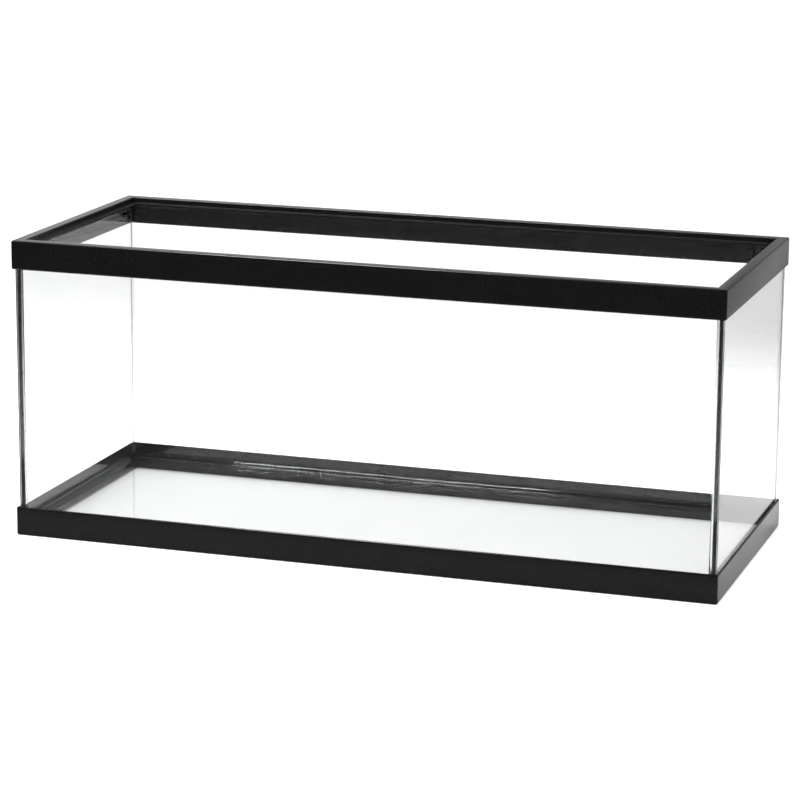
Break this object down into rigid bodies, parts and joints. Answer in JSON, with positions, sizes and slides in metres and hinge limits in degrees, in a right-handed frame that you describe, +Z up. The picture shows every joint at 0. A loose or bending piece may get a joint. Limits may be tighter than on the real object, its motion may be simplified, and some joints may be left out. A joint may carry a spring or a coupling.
{
  "type": "glass aquarium tank",
  "caption": "Long, low open-topped tank of clear float glass panes sealed with clear silicone, with a black moulded frame round the rim and another round the base.",
  "frame": {"origin": "middle of the footprint, on the surface the tank stands on", "axes": "+X along the length towards the right end, +Y towards the rear pane, +Z up"},
  "size_m": [0.768, 0.314, 0.321],
  "materials": {
    "frame_plastic": "moulded black styrene, semi-gloss",
    "float_glass": "clear polished float glass with lightly seamed edges",
    "clear_silicone": "clear cured silicone, tooled smooth"
  },
  "bodies": {
    "root": {"top_frame": "frame_plastic", "bottom_frame": "frame_plastic", "front_pane": "float_glass", "rear_pane": "float_glass", "left_pane": "float_glass", "right_pane": "float_glass", "base_pane": "float_glass", "bond_front_left": "clear_silicone", "bond_front_right": "clear_silicone", "bond_rear_left": "clear_silicone", "bond_rear_right": "clear_silicone", "base_bond_front": "clear_silicone", "base_bond_rear": "clear_silicone", "base_bond_left": "clear_silicone", "base_bond_right": "clear_silicone", "corner_seal_front_left": "clear_silicone", "corner_seal_front_right": "clear_silicone", "corner_seal_rear_left": "clear_silicone", "corner_seal_rear_right": "clear_silicone", "base_seal_front": "clear_silicone", "base_seal_rear": "clear_silicone", "base_seal_left": "clear_silicone", "base_seal_right": "clear_silicone", "top_adhesive_front": "clear_silicone", "top_adhesive_rear": "clear_silicone", "top_adhesive_left": "clear_silicone", "top_adhesive_right": "clear_silicone", "bottom_adhesive_front": "clear_silicone", "bottom_adhesive_rear": "clear_silicone", "bottom_adhesive_left": "clear_silicone", "bottom_adhesive_right": "clear_silicone"}
  },
  "joints": []
}
